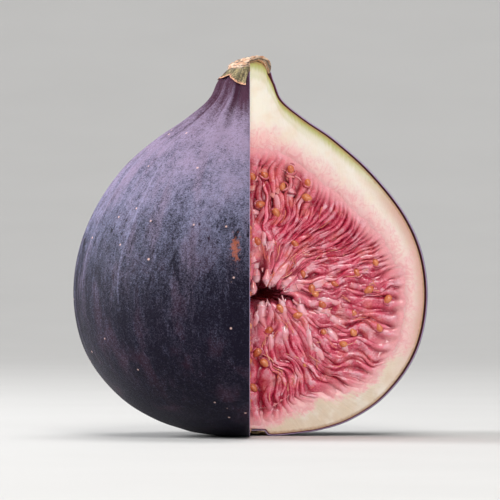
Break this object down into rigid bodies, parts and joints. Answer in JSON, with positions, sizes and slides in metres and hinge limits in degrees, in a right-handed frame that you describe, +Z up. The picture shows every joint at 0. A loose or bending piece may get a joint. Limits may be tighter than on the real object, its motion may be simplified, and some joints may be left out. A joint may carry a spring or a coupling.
{
  "type": "fresh fig",
  "caption": "Ripe fresh fig that stands on its base, with a wedge cut away from stalk to eye to show its dark skin, white flesh and red pulp with seeds.",
  "frame": {"origin": "middle of the base, on the surface that the fig stands on", "axes": "+Z up through the stalk, +X to the right of the front view, -Y towards the front; the wedge between +X and -Y is cut away"},
  "size_m": [0.0546, 0.0546, 0.0587],
  "materials": {
    "skin": "thin dark purple fruit skin with a pale waxy bloom",
    "flesh": "moist ivory white fruit flesh",
    "pulp": "wet crimson and pink florets with orange tan seeds",
    "stalk": "dried brown and tan stalk end"
  },
  "bodies": {
    "root": {"skin": "skin", "flesh": "flesh", "pulp": "pulp", "stalk": "stalk"}
  },
  "joints": []
}
